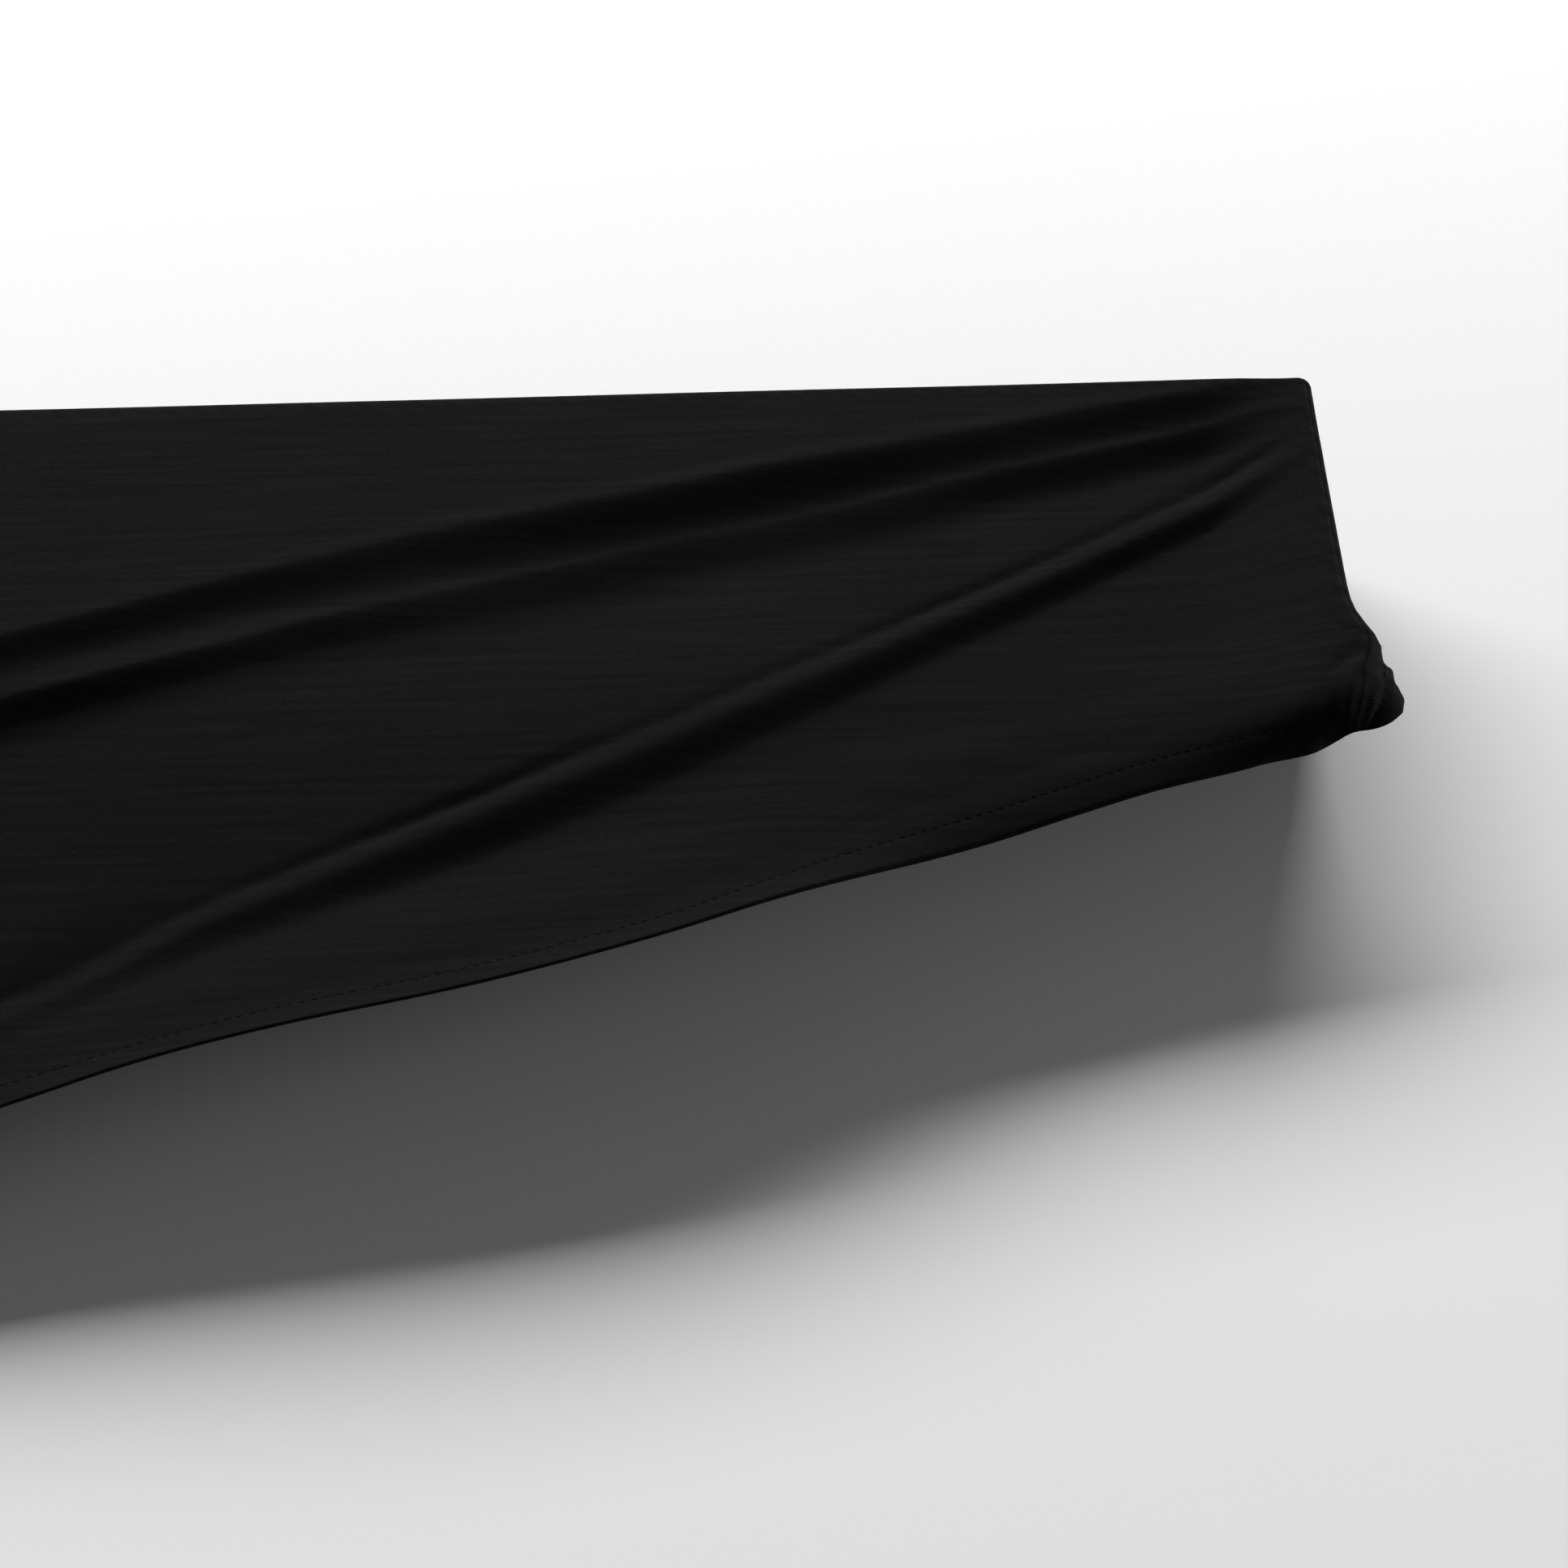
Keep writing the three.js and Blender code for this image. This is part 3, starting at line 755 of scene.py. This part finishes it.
in_hem = 1 - smoothstep(hem_distance, *HEM_FOLD)
lying = mix(FLAT_HEM["share"], 1, smoothstep(edge[:, 0], *FLAT_HEM["end"]))
short_fall = np.where(on_front, 1 - bell(fall - SHORT_FALL["at"], SHORT_FALL["width"]), 1)
thinned = eased * (1 - bell(from_corner, CORNER_THIN_RUN)) * short_fall
bulk = np.zeros(len(middle))
bulk[ring_index] = np.maximum(turned, lying) * thinned
inner = middle - normals * (CLOTH / 2 + HEM_EXTRA * bulk * in_hem)[:, None]
thickness = np.linalg.norm(outer - inner, axis=1)
print(f"cloth {thickness.min():.1f} mm thick, hem up to {thickness.max():.1f} mm")

# %% The rim
RIM_RINGS = 5

open_edge = ring_index[-1]
edge_normal = normals[open_edge]
leaving = middle[open_edge] - middle[ring_index[-2]]
leaving = unit(leaving - edge_normal * np.sum(leaving * edge_normal, axis=1, keepdims=True))
rim_centre = (outer[open_edge] + inner[open_edge]) / 2
rim_radius = np.linalg.norm(outer[open_edge] - inner[open_edge], axis=1, keepdims=True) / 2
rim_angle = np.pi * np.arange(1, RIM_RINGS + 1) / (RIM_RINGS + 1)
rim = np.stack([
    rim_centre + rim_radius * (math.cos(angle) * edge_normal + math.sin(angle) * leaving)
    for angle in rim_angle
])
print(f"rim up to {2 * rim_radius.max():.1f} mm thick")

# %% [markdown]
# ## The cover's mesh
#
# The two skins and the rim become one closed mesh. Its UV map is the cut of the cloth laid flat, in
# metres: the top as it lies, and the falls folded out from its edge. The knit can then follow the
# cloth over every edge, and its stitches keep their real size. A map made by an unwrapping tool would
# have seams and scales of its own.

# %% Mesh from arrays
def mesh_object(name, points, quads, flat):
    """A smooth mesh object of quads, from points in millimetres, with a UV map in metres."""
    mesh = bpy.data.meshes.new(name)
    mesh.vertices.add(len(points))
    mesh.vertices.foreach_set("co", (points * MM).astype(np.float32).ravel())
    mesh.loops.add(quads.size)
    mesh.loops.foreach_set("vertex_index", quads.astype(np.int32).ravel())
    mesh.polygons.add(len(quads))
    mesh.polygons.foreach_set("loop_start", np.arange(0, quads.size, 4, dtype=np.int32))
    mesh.update(calc_edges=True)
    mesh.polygons.foreach_set("use_smooth", np.ones(len(quads), dtype=bool))
    layer = mesh.uv_layers.new(name="flat_cut")
    layer.data.foreach_set("uv", (flat[quads.ravel()] * MM).astype(np.float32).ravel())
    mesh.validate()
    return add_object(name, mesh)


# %% The cover
from_top_edge = np.cumsum(fall_steps, axis=0)
flat_falls = edge[None, :, :2] + outward[None] * from_top_edge[..., None]
flat_top = np.stack([flat_x, flat_y], axis=-1)
flat_middle = np.concatenate([flat_top.reshape(-1, 2), flat_falls.reshape(-1, 2)])
flat_rim = np.repeat(flat_middle[open_edge][None], RIM_RINGS, axis=0).reshape(-1, 2)

count = len(middle)
rim_index = 2 * count + np.arange(RIM_RINGS * len(open_edge)).reshape(RIM_RINGS, -1)
rim_index = np.concatenate([open_edge[None], rim_index, open_edge[None] + count])
cover = mesh_object(
    "cover_cloth",
    np.concatenate([outer, inner, rim.reshape(-1, 3)]),
    np.concatenate([middle_quads, middle_quads[:, ::-1] + count, band_quads(rim_index)]),
    np.concatenate([flat_middle, flat_middle, flat_rim]),
)
print("triangles of the cover:", 2 * len(cover.data.polygons))

# %% [markdown]
# ## The hem's stitching
#
# A hem is sewn with a row of short stitches, which sink a little into the soft cloth at both ends.
# Each one is a small thread along the same line, so one formula gives them all: a round section
# carried along a shallow arch. A picture of stitches would be flat where the light grazes them.

# %% Line of the stitches
STITCH_PITCH = 3.2
STITCH_LENGTH = 2.6


def on_section(distance, skin):
    """Points of a skin at one distance from the open edge, between the two rings on either side."""
    before = (to_open_edge > distance).sum(axis=0) - 1
    across = np.arange(len(open_edge))
    far, near = to_open_edge[before, across], to_open_edge[before + 1, across]
    share = ((far - distance) / (far - near))[:, None]
    return mix(skin[ring_index[before, across]], skin[ring_index[before + 1, across]], share)


def along_loop(values, run, places):
    """Values of a closed loop at given places of its running length, for each coordinate."""
    closed = np.concatenate([values, values[:1]])
    return np.stack([np.interp(places, run, closed[:, axis]) for axis in range(3)], axis=1)


stitch_line = on_section(STITCH_LINE, outer)
stitch_normal = on_section(STITCH_LINE, normals)
line_run = loop_run(stitch_line)
stitch_count = int(line_run[-1] / STITCH_PITCH)
print(f"hem line {line_run[-1] * MM:.2f} m long, {stitch_count} stitches")

# %% The stitches
THREAD_RADIUS = 0.14
THREAD_PROUD = 0.2
STITCH_SINK = 0.25
STITCH_STEPS, STITCH_SIDES = 5, 6

centre_run = (np.arange(stitch_count) + 0.5) * line_run[-1] / stitch_count
share = np.linspace(-0.5, 0.5, STITCH_STEPS)
places = (centre_run[:, None] + share * STITCH_LENGTH).ravel() % line_run[-1]
path = along_loop(stitch_line, line_run, places).reshape(stitch_count, STITCH_STEPS, 3)
up = unit(along_loop(stitch_normal, line_run, places).reshape(path.shape))
aside = np.cross(unit(path[:, -1:] - path[:, :1]), up)
arch = THREAD_RADIUS * THREAD_PROUD - STITCH_SINK * (2 * share) ** 4
turn = 2 * np.pi * np.arange(STITCH_SIDES) / STITCH_SIDES
thread = (path + up * arch[:, None])[:, :, None] + THREAD_RADIUS * (
    np.cos(turn)[:, None] * aside[:, :, None] + np.sin(turn)[:, None] * up[:, :, None]
)
number = np.arange(thread[..., 0].size).reshape(thread.shape[:3])
thread_quads = band_quads(np.moveaxis(number, 1, 0))
ends = np.concatenate([number[:, 0][:, [0, 1, 2, 3]], number[:, 0][:, [0, 3, 4, 5]],
                       number[:, -1][:, [3, 2, 1, 0]], number[:, -1][:, [5, 4, 3, 0]]])
flat_thread = np.empty_like(thread[..., :2])
flat_thread[..., 0] = (share * STITCH_LENGTH)[:, None]
flat_thread[..., 1] = turn * THREAD_RADIUS
stitches = mesh_object(
    "hem_stitches", thread.reshape(-1, 3), np.concatenate([thread_quads, ends]),
    flat_thread.reshape(-1, 2),
)
print("triangles of the stitches:", 2 * len(stitches.data.polygons))

# %% [markdown]
# ## Finish: uneven fibres
#
# Black cloth is never one flat black. Fibres lie at slightly different angles and take dye unevenly,
# so there are faint streaks along the knit and a soft mottle. The same effect, at another scale, is
# on the sewing thread, which makes it a node group with its own sizes in each material.

# %% Helpers for nodes
MIX_A, MIX_B, MIX_COLOR = 6, 7, 2


def link(tree, value, socket):
    """Joins another node's output to a socket, or sets the socket to a plain value."""
    if isinstance(value, bpy.types.NodeSocket):
        tree.links.new(value, socket)
    else:
        socket.default_value = value


def math_node(tree, operation, *values):
    """Output of a maths node whose inputs are numbers or other nodes' outputs."""
    node = tree.nodes.new("ShaderNodeMath")
    node.operation = operation
    for socket, value in zip(node.inputs, values):
        link(tree, value, socket)
    return node.outputs[0]


def noise_node(tree, vector, scale, detail, roughness):
    """Output of a noise texture between 0 and 1."""
    node = tree.nodes.new("ShaderNodeTexNoise")
    settings = {"Vector": vector, "Scale": scale, "Detail": detail, "Roughness": roughness}
    for name, value in settings.items():
        link(tree, value, node.inputs[name])
    return node.outputs[0]


def split_node(tree, vector):
    """X, Y and Z of a vector, as outputs by name."""
    node = tree.nodes.new("ShaderNodeSeparateXYZ")
    link(tree, vector, node.inputs[0])
    return node.outputs


def range_node(tree, value, start, end, to_start=0.0, to_end=1.0):
    """Output of a smooth step from to_start at start to to_end at end."""
    node = tree.nodes.new("ShaderNodeMapRange")
    node.interpolation_type = "SMOOTHSTEP"
    for socket, given in zip(node.inputs, (value, start, end, to_start, to_end)):
        link(tree, given, socket)
    return node.outputs[0]


def colour_node(tree, share, first, second):
    """Output of a mix from the first colour to the second."""
    node = tree.nodes.new("ShaderNodeMix")
    node.data_type = "RGBA"
    for place, value in ((0, share), (MIX_A, first), (MIX_B, second)):
        link(tree, value, node.inputs[place])
    return node.outputs[MIX_COLOR]


# %% Helper for node groups
def new_group(name, inputs, outputs):
    """An empty node group with named sockets: the group, its input node and its output node."""
    group = bpy.data.node_groups.new(name, "ShaderNodeTree")
    for direction, sockets in (("INPUT", inputs), ("OUTPUT", outputs)):
        for socket, kind in sockets.items():
            group.interface.new_socket(socket, in_out=direction, socket_type="NodeSocket" + kind)
    return group, group.nodes.new("NodeGroupInput").outputs, group.nodes.new("NodeGroupOutput").inputs


# %% Node group for the fibre mottle
FUZZ_SHARE = 0.35
MOTTLE_RANGE = (0.3, 0.7)


def fibre_mottle_group():
    """Colour between dark and light by the weighted sum of two noises: streaks and a fine fuzz."""
    inputs = {"Vector": "Vector", "Streak Scale": "Vector", "Fuzz Scale": "Float",
              "Dark": "Color", "Light": "Color"}
    group, given, result = new_group("fibre_mottle", inputs, {"Color": "Color", "Height": "Float"})
    stretched = group.nodes.new("ShaderNodeVectorMath")
    stretched.operation = "MULTIPLY"
    link(group, given["Vector"], stretched.inputs[0])
    link(group, given["Streak Scale"], stretched.inputs[1])
    streaks = noise_node(group, stretched.outputs[0], scale=1.0, detail=3.0, roughness=0.6)
    fuzz = noise_node(group, given["Vector"], given["Fuzz Scale"], detail=2.0, roughness=0.5)
    height = math_node(group, "MULTIPLY", streaks, 1 - FUZZ_SHARE)
    height = math_node(group, "MULTIPLY_ADD", fuzz, FUZZ_SHARE, height)
    shade = range_node(group, height, *MOTTLE_RANGE)
    link(group, colour_node(group, shade, given["Dark"], given["Light"]), result["Color"])
    link(group, height, result["Height"])
    return group


fibre_mottle = fibre_mottle_group()
print("sockets of the mottle:", [item.name for item in fibre_mottle.interface.items_tree])

# %% [markdown]
# ## Finish: the knit
#
# A plain knit is made of loops that stand in upright columns, the wales, and each loop shows as a
# small V. Modelled loops would need millions of faces, so the V is drawn in the height of a bump: a
# rounded rib for each wale, and waves along it that bend back towards the sides of the rib.

# %% Node group for the knit
LOOP_WAVE = 0.35


def knit_group():
    """Height of the loops: with w the distance from the middle of a wale in half widths, c the place
    along it in loops and a the share of the wave, (1 - w^2) (1 - a + a cos(2 pi (c + w / 2)))."""
    inputs = {"Vector": "Vector", "Wales": "Float", "Loops": "Float"}
    group, given, result = new_group("knit_loops", inputs, {"Height": "Float"})
    split = split_node(group, given["Vector"])
    place = math_node(group, "FRACT", math_node(group, "MULTIPLY", split["Y"], given["Wales"]))
    aside = math_node(group, "ABSOLUTE", math_node(group, "MULTIPLY_ADD", place, 2.0, -1.0))
    loops = math_node(group, "MULTIPLY", split["X"], given["Loops"])
    bent = math_node(group, "MULTIPLY_ADD", aside, 0.5, loops)
    wave = math_node(group, "COSINE", math_node(group, "MULTIPLY", bent, 2 * math.pi))
    rib = math_node(group, "SUBTRACT", 1.0, math_node(group, "MULTIPLY", aside, aside))
    loop = math_node(group, "MULTIPLY_ADD", wave, LOOP_WAVE, 1 - LOOP_WAVE)
    link(group, math_node(group, "MULTIPLY", rib, loop), result["Height"])
    return group


knit_loops = knit_group()
print("sockets of the knit:", [item.name for item in knit_loops.interface.items_tree])

# %% [markdown]
# ## Finish: the cloth
#
# The cloth is matt black with a soft sheen, because short fibre ends stand up from it and catch the
# light at the edges. Colour and roughness vary with the mottle, and the middle of the seam's groove is
# painted darker as its shade. The bump adds up three heights: the loops of the knit, the fibres, and a
# fine seam round the top with puckers where it is sewn.

# %% Helpers for materials
def material_with_shader(name):
    """A new node material: the material, its tree and its Principled BSDF."""
    material = bpy.data.materials.new(name)
    material.use_nodes = True
    return material, material.node_tree, material.node_tree.nodes["Principled BSDF"]


def place_group(tree, group, **inputs):
    """Outputs of a group node placed in a tree with its own values."""
    node = tree.nodes.new("ShaderNodeGroup")
    node.node_tree = group
    for name, value in inputs.items():
        link(tree, value, node.inputs[name.replace("_", " ")])
    return node.outputs


def bump_node(tree, height, depth, normal=None):
    """Normal of a bump of the given depth in metres, on top of another normal."""
    node = tree.nodes.new("ShaderNodeBump")
    node.inputs["Distance"].default_value = depth
    link(tree, height, node.inputs["Height"])
    if normal is not None:
        link(tree, normal, node.inputs["Normal"])
    return node.outputs["Normal"]


def flat_cut_node(tree):
    """Place on the flat cut, in metres, from the UV map."""
    node = tree.nodes.new("ShaderNodeUVMap")
    node.uv_map = "flat_cut"
    return node.outputs["UV"]


def slant_wave(tree, split, per_metre):
    """Sine of the sum of the X and Y of a split vector, with so many waves in a metre."""
    slant = math_node(tree, "ADD", split["X"], split["Y"])
    return math_node(tree, "SINE", math_node(tree, "MULTIPLY", slant, 2 * math.pi * per_metre))


# %% Seam round the top
SEAM_OUT = 0.00125
SEAM_WIDTH = 0.0007
# Share of painted shade in the middle of the seam's groove.
GROOVE_SHADE_SHARE = 0.85
PUCKERS_PER_METRE = 112.0
PUCKER_HEIGHT = 0.5
PUCKER_REACH = 0.008


def seam_height(tree, flat):
    """Groove along the edge of the top, from the distance to that rectangle in the flat cut, and a
    wave of puckers along it that dies away on either side; and a mask for painted shade in the groove."""
    split, beyond = split_node(tree, flat), []
    for axis, half in (("X", FLAT_X), ("Y", FLAT_Y)):
        place = math_node(tree, "ABSOLUTE", split[axis])
        beyond.append(math_node(tree, "SUBTRACT", place, half * MM + SEAM_OUT))
    away = math_node(tree, "ABSOLUTE", math_node(tree, "MAXIMUM", *beyond))
    groove = range_node(tree, away, 0.0, 2 * SEAM_WIDTH, -1.0, 0.0)
    wave = slant_wave(tree, split, PUCKERS_PER_METRE)
    near = range_node(tree, away, 0.0, PUCKER_REACH, PUCKER_HEIGHT, 0.0)
    height = math_node(tree, "ADD", groove, math_node(tree, "MULTIPLY", wave, near))
    return height, range_node(tree, away, 0.0, SEAM_WIDTH, GROOVE_SHADE_SHARE, 0.0)


# %% Black stretch knit
CLOTH_DARK = (0.0050, 0.0050, 0.0051, 1.0)
CLOTH_LIGHT = (0.0074, 0.0074, 0.0075, 1.0)
# Painted shade: the colour of the seam's groove, darker where shade falls in it.
SEAM_PAINTED_SHADE = (0.0012, 0.0012, 0.0012, 1.0)
CLOTH_ROUGHNESS = (0.95, 0.82)
WALES_PER_METRE = 1500.0
LOOPS_PER_METRE = 1700.0
STREAKS_PER_METRE = (16.0, 420.0, 1.0)
FUZZ_PER_METRE = 700.0
SEAM_DEPTH, FIBRE_DEPTH, KNIT_DEPTH = 0.00025, 0.00015, 0.00006


def black_knit():
    """Black stretch knit on the flat cut's UV map."""
    material, tree, shader = material_with_shader("black_stretch_knit")
    flat = flat_cut_node(tree)
    mottle = place_group(
        tree, fibre_mottle, Vector=flat, Streak_Scale=STREAKS_PER_METRE, Fuzz_Scale=FUZZ_PER_METRE,
        Dark=CLOTH_DARK, Light=CLOTH_LIGHT,
    )
    knit = place_group(tree, knit_loops, Vector=flat, Wales=WALES_PER_METRE, Loops=LOOPS_PER_METRE)
    seam_relief, painted_groove_shade = seam_height(tree, flat)
    seam = bump_node(tree, seam_relief, SEAM_DEPTH)
    fibres = bump_node(tree, mottle["Height"], FIBRE_DEPTH, seam)
    link(tree, bump_node(tree, knit["Height"], KNIT_DEPTH, fibres), shader.inputs["Normal"])
    # Painted shade: the base colour darkens to the seam's shade in the middle of its groove.
    link(tree, colour_node(tree, painted_groove_shade, mottle["Color"], SEAM_PAINTED_SHADE), shader.inputs["Base Color"])
    roughness = range_node(tree, mottle["Height"], *MOTTLE_RANGE, *CLOTH_ROUGHNESS)
    link(tree, roughness, shader.inputs["Roughness"])
    shader.inputs["Specular IOR Level"].default_value = 0.01
    shader.inputs["Sheen Weight"].default_value = 0.004
    shader.inputs["Sheen Roughness"].default_value = 0.45
    return material


cover.data.materials.append(black_knit())
print("cloth:", cover.data.materials[0].name)

# %% [markdown]
# ## Finish: the thread
#
# Sewing thread is twisted and a little smoother than the cloth, so its stitches catch small lights.
# The twist is a wave that runs slantwise round each stitch, on the thread's own UV map.

# %% Black thread
THREAD_DARK = (0.0022, 0.0022, 0.0022, 1.0)
THREAD_LIGHT = (0.0038, 0.0038, 0.0038, 1.0)
THREAD_STREAKS_PER_METRE = (300.0, 3000.0, 1.0)
THREAD_FUZZ_PER_METRE = 4000.0
TWISTS_PER_METRE = 1600.0
TWIST_DEPTH = 0.00006


def black_thread():
    """Twisted thread: a sine of the sum of the places along and round the stitch."""
    material, tree, shader = material_with_shader("black_thread")
    flat = flat_cut_node(tree)
    mottle = place_group(
        tree, fibre_mottle, Vector=flat, Streak_Scale=THREAD_STREAKS_PER_METRE,
        Fuzz_Scale=THREAD_FUZZ_PER_METRE, Dark=THREAD_DARK, Light=THREAD_LIGHT,
    )
    twist = slant_wave(tree, split_node(tree, flat), TWISTS_PER_METRE)
    link(tree, bump_node(tree, twist, TWIST_DEPTH), shader.inputs["Normal"])
    link(tree, mottle["Color"], shader.inputs["Base Color"])
    shader.inputs["Roughness"].default_value = 0.8
    shader.inputs["Specular IOR Level"].default_value = 0.02
    return material


stitches.data.materials.append(black_thread())
print("thread:", stitches.data.materials[0].name)

# %% [markdown]
# ## Tell the frame what was made
#
# Both pieces ride on the one body of the part and stand where its solid is, which is hidden.

for piece in (cover, stitches):
    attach(piece, "root")
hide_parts("cover")

# %% [markdown]
# ## Floor and light
#
# Black cloth shows its folds only by the light that grazes them. One large soft lamp stands behind
# and above, so that the backs of the ridges are light and their fronts dark. A low card far to the
# right lights only cloth that faces that way, such as the bunched end. A weak lamp in front and a pale
# room keep the fronts from going fully black.

# %% Floor
FLOOR_SIZE = 6.0
FLOOR_GAP = 0.0002
FLOOR_COLOUR = (0.62, 0.62, 0.62, 1.0)

floor_z = min(corner[2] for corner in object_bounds()) - FLOOR_GAP
floor_mesh = bpy.data.meshes.new("floor")
reach = FLOOR_SIZE / 2
corners = [(-reach, -reach), (reach, -reach), (reach, reach), (-reach, reach)]
floor_mesh.from_pydata([(*corner, floor_z) for corner in corners], [], [(0, 1, 2, 3)])
floor = add_object("floor", floor_mesh)
floor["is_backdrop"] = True
pale, _, floor_shader = material_with_shader("pale_floor")
floor_shader.inputs["Base Color"].default_value = FLOOR_COLOUR
floor_shader.inputs["Roughness"].default_value = 0.9
floor_mesh.materials.append(pale)
print(f"floor at {floor_z / MM:.1f} mm")

# %% Lamps and room
LAMPS = [
    ("key_behind", (-0.60, 3.20, 2.25), (0.15, 0.0, 0.0), (6.0, 1.8), 430.0),
    ("fill_front", (0.4, -1.6, 1.6), (0.1, 0.0, 0.0), (2.0, 1.5), 1.5),
    ("card_right", (3.2, 0.92, 0.08), (0.45, 0.0, 0.0), (0.8, 0.3), 140.0),
]
ROOM_STRENGTH = 0.08


def soft_lamp(name, place, aim, size, power):
    """A rectangular area light at a place, turned to its aim."""
    data = bpy.data.lights.new(name, "AREA")
    data.shape = "RECTANGLE"
    data.size, data.size_y = size
    data.energy = power
    made = add_object(name, data)
    made.location = place
    towards = Vector(aim) - Vector(place)
    made.rotation_euler = towards.to_track_quat("-Z", "Y").to_euler()
    return made


lamps = [soft_lamp(*row) for row in LAMPS]
room = bpy.data.worlds.new("pale_room")
room.use_nodes = True
background = room.node_tree.nodes["Background"]
background.inputs["Color"].default_value = (1.0, 1.0, 1.0, 1.0)
background.inputs["Strength"].default_value = ROOM_STRENGTH
bpy.context.scene.world = room
bpy.context.scene.view_settings.view_transform = "Standard"
print("lamps:", [made.name for made in lamps])
